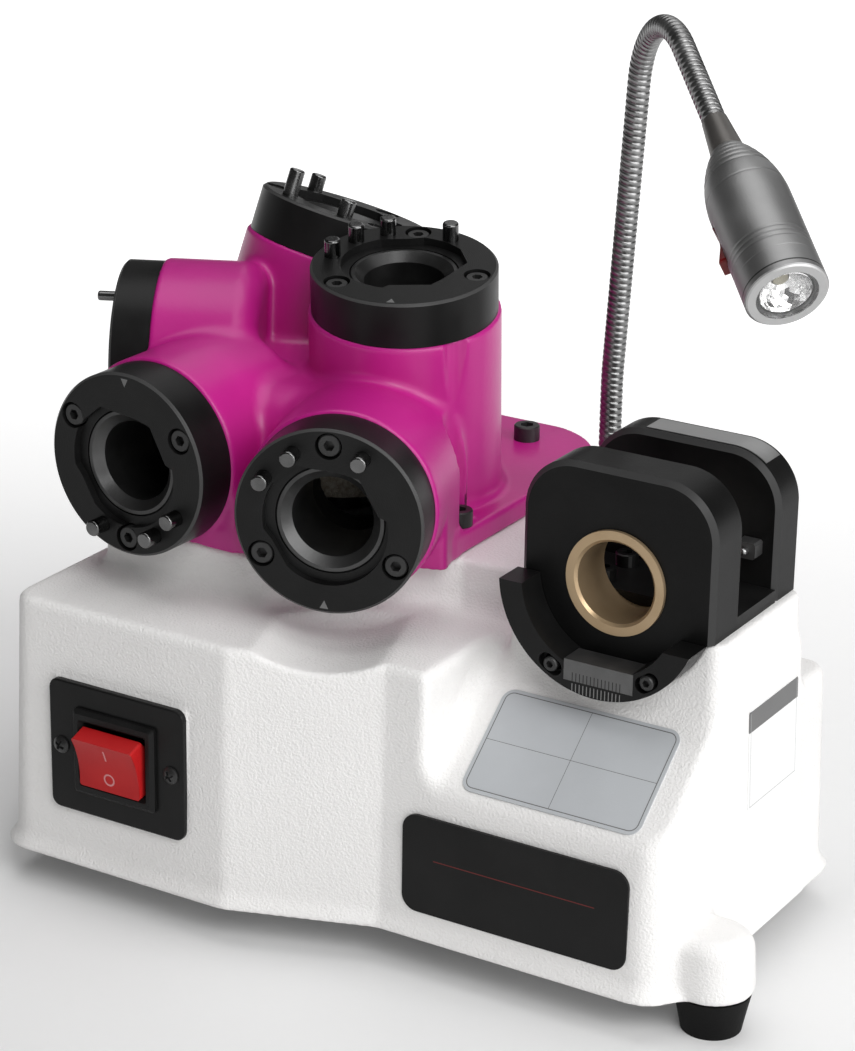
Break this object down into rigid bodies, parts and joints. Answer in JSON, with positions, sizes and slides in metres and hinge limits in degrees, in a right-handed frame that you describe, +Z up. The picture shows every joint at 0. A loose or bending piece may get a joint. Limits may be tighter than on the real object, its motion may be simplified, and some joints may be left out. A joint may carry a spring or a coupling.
{
  "type": "endmill grinder",
  "caption": "Bench endmill grinder: cast base with motor, grinding head with bored chuck ports, setting gauge with bush and swinging cradle, gooseneck work lamp and rocker switch.",
  "frame": {"origin": "on the floor, in the middle of the overall box", "axes": "+X to the right seen from the switch side, +Y to the back, +Z up along the spindle"},
  "size_m": [0.272, 0.217, 0.2785],
  "materials": {
    "white_coat": "fine textured powder coat",
    "magenta_paint": "gloss enamel on a casting",
    "black_anodised": "satin black anodised",
    "black_steel": "black oxide",
    "plain_steel": "ground",
    "zinc_steel": "zinc plated",
    "cast_iron": "machined",
    "abrasive": "bonded grit",
    "bronze": "turned",
    "rubber": "matt",
    "black_plastic": "moulded",
    "red_plastic": "clear red moulding",
    "panel_grey": "plain film",
    "panel_black": "black printed plate",
    "neck_chrome": "satin chrome",
    "lamp_alu": "bead blasted",
    "lamp_bright": "turned bright",
    "clear": "clear",
    "reflector": "bright",
    "led": "phosphor",
    "capacitor": "moulded can"
  },
  "bodies": {
    "machine": {"base_housing": "white_coat", "bottom_plate": "zinc_steel", "bottom_plate_screws": "black_steel", "rubber_feet": "rubber", "foot_screws": "zinc_steel", "switch_plate": "panel_black", "switch_plate_screws": "black_steel", "switch_body": "black_plastic", "name_plate": "panel_black", "console_panel": "panel_grey", "side_panel": "panel_grey", "power_inlet": "black_plastic", "inlet_blades": "bronze", "power_inlet_screws": "black_steel", "motor_upper_bell": "cast_iron", "motor_stator": "cast_iron", "motor_lower_bell": "cast_iron", "motor_screws": "black_steel", "upper_bearing": "plain_steel", "lower_bearing": "plain_steel", "run_capacitor": "capacitor", "head_casting": "magenta_paint", "head_screws": "black_steel", "port_sleeves": "black_steel", "port_ring_screws": "black_steel", "stop_pins": "plain_steel", "gauge_front_plate": "black_anodised", "gauge_rear_plate": "black_anodised", "gauge_floor": "black_anodised", "gauge_screws": "black_steel", "gauge_bush": "bronze", "cradle_screws": "black_steel", "finger_block": "black_anodised", "flute_finger": "plain_steel", "lamp_ferrule": "neck_chrome", "port_ring_front_right": "black_anodised", "port_ring_front_left": "black_anodised", "port_ring_left": "black_anodised", "port_ring_rear_top": "black_anodised", "port_ring_front_top": "black_anodised"},
    "spindle": {"motor_rotor": "cast_iron", "spindle_shaft": "plain_steel", "wheel_hub": "plain_steel", "wheel_core": "plain_steel", "abrasive_ring": "abrasive", "wheel_nut": "zinc_steel"},
    "mains_rocker": {"switch_rocker": "red_plastic"},
    "cradle": {"gauge_cradle": "black_anodised", "cradle_scale": "plain_steel"},
    "neck_lower": {"gooseneck_lower": "neck_chrome"},
    "neck_bend": {"gooseneck_bend": "neck_chrome"},
    "lamp": {"gooseneck_upper": "neck_chrome", "lamp_sleeve": "black_steel", "lamp_housing": "lamp_alu", "lamp_bezel": "lamp_bright", "lamp_lens": "clear", "lamp_reflector": "reflector", "lamp_led": "led"},
    "lamp_rocker": {"lamp_rocker": "red_plastic"}
  },
  "joints": [
    {"name": "spindle_spin", "type": "hinge", "parent": "machine", "child": "spindle", "pos_m": [-0.05473, -0.0018, 0.1], "axis": [0, 0, 1], "continuous": true},
    {"name": "mains_rocker_tip", "type": "hinge", "parent": "machine", "child": "mains_rocker", "pos_m": [-0.07193, -0.101, 0.052], "axis": [1, 0, 0], "range_deg": [-28, 0]},
    {"name": "cradle_swing", "type": "hinge", "parent": "machine", "child": "cradle", "pos_m": [0.06977, -0.0546, 0.124], "axis": [0, 1, 0], "range_deg": [-2.5, 2.5]},
    {"name": "neck_swivel", "type": "hinge", "parent": "machine", "child": "neck_lower", "pos_m": [0.02677, 0.0256, 0.111], "axis": [0, 0, 1], "range_deg": [-30, 120]},
    {"name": "neck_bow", "type": "hinge", "parent": "neck_lower", "child": "neck_bend", "pos_m": [0.03649, 0.0165, 0.24682], "axis": [-0.6833, -0.7302, 0], "range_deg": [-15, 30]},
    {"name": "lamp_nod", "type": "hinge", "parent": "neck_bend", "child": "lamp", "pos_m": [0.0685, -0.01345, 0.26864], "axis": [-0.6833, -0.7302, 0], "range_deg": [-30, 30]},
    {"name": "lamp_rocker_tip", "type": "hinge", "parent": "lamp", "child": "lamp_rocker", "pos_m": [0.10495, -0.05919, 0.23164], "axis": [0.0399, 0.6474, -0.7611], "range_deg": [-16, 0]}
  ]
}
